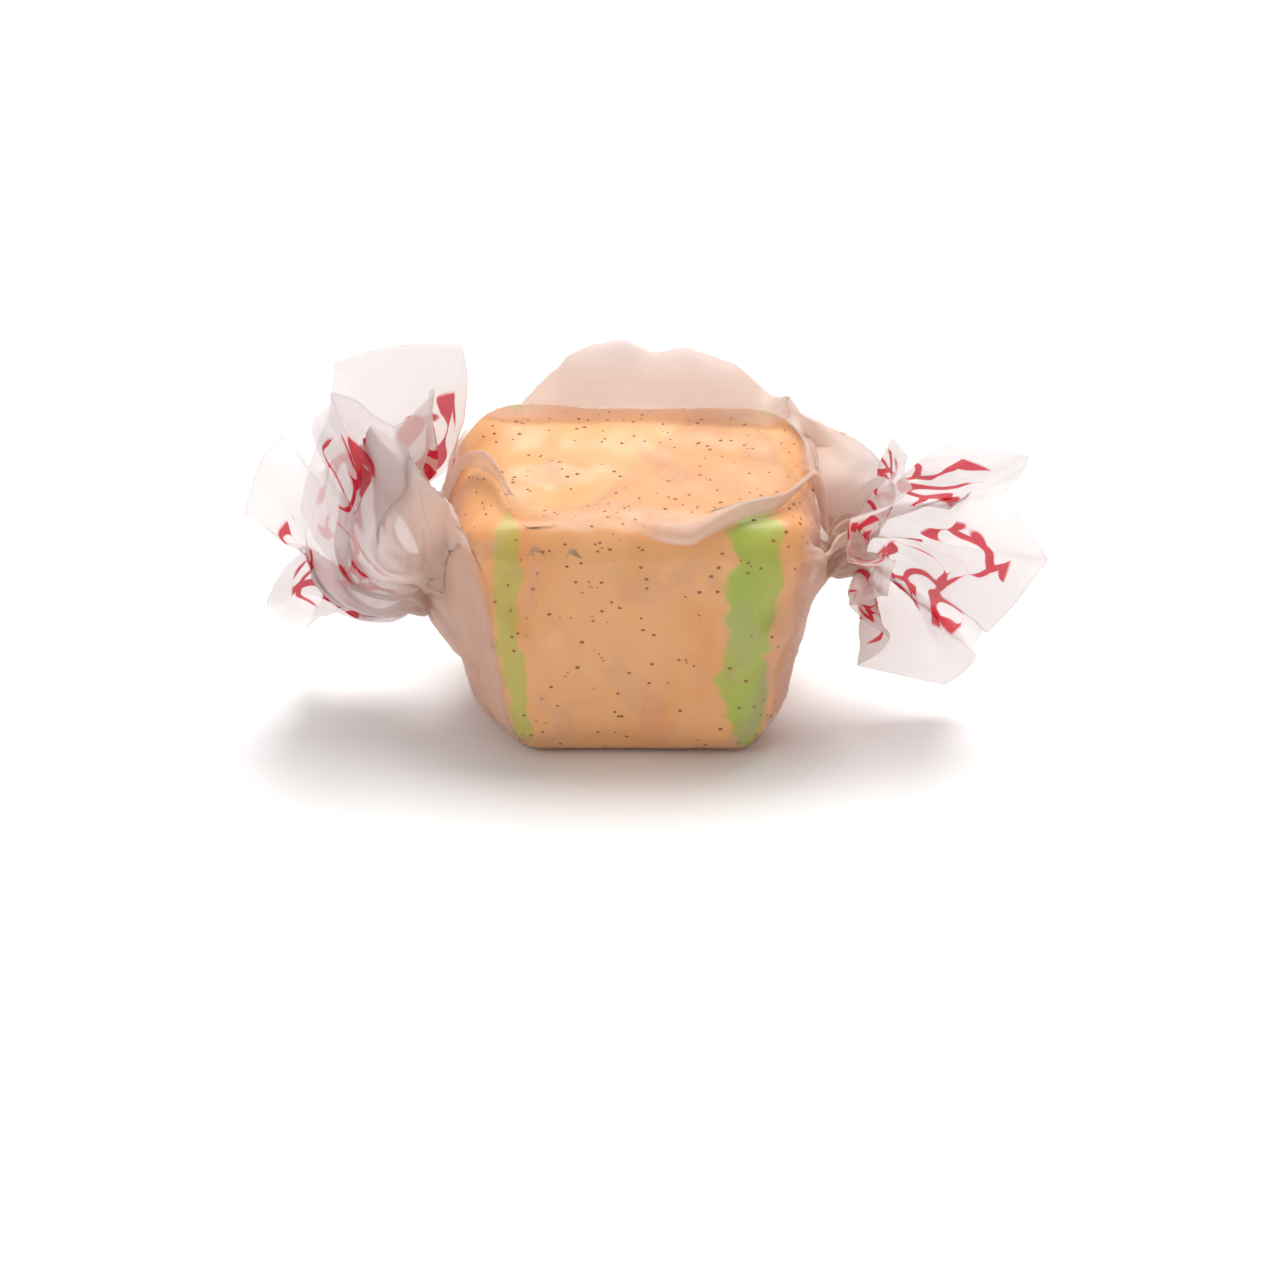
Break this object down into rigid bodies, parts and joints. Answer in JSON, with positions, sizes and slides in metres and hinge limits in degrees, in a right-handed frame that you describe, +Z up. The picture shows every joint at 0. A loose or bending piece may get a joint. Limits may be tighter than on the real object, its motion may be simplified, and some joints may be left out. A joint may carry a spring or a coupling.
{
  "type": "salt water taffy",
  "caption": "Wrapped salt water taffy: a soft striped chunk cut from a rope, in waxed paper twisted to a pleated fan at each end.",
  "frame": {"origin": "centre of the flat patch of paper under the chunk, which it rests on", "axes": "+X along the line through both twists, towards the right fan; +Y from the front to the back, so the front faces -Y; +Z up"},
  "size_m": [0.0549, 0.0229, 0.0254],
  "materials": {
    "taffy_peach": "soft pulled peach-orange candy with fine brown specks, satin",
    "taffy_green": "soft pulled green candy, satin",
    "waxed_paper": "translucent waxed paper, milky where it is clear of the candy, with a red line print near both fans"
  },
  "bodies": {
    "root": {"taffy": "taffy_peach", "stripe_front_left": "taffy_green", "stripe_front_right": "taffy_green", "stripe_back_left": "taffy_green", "stripe_back_right": "taffy_green", "wrapper": "waxed_paper"}
  },
  "joints": []
}
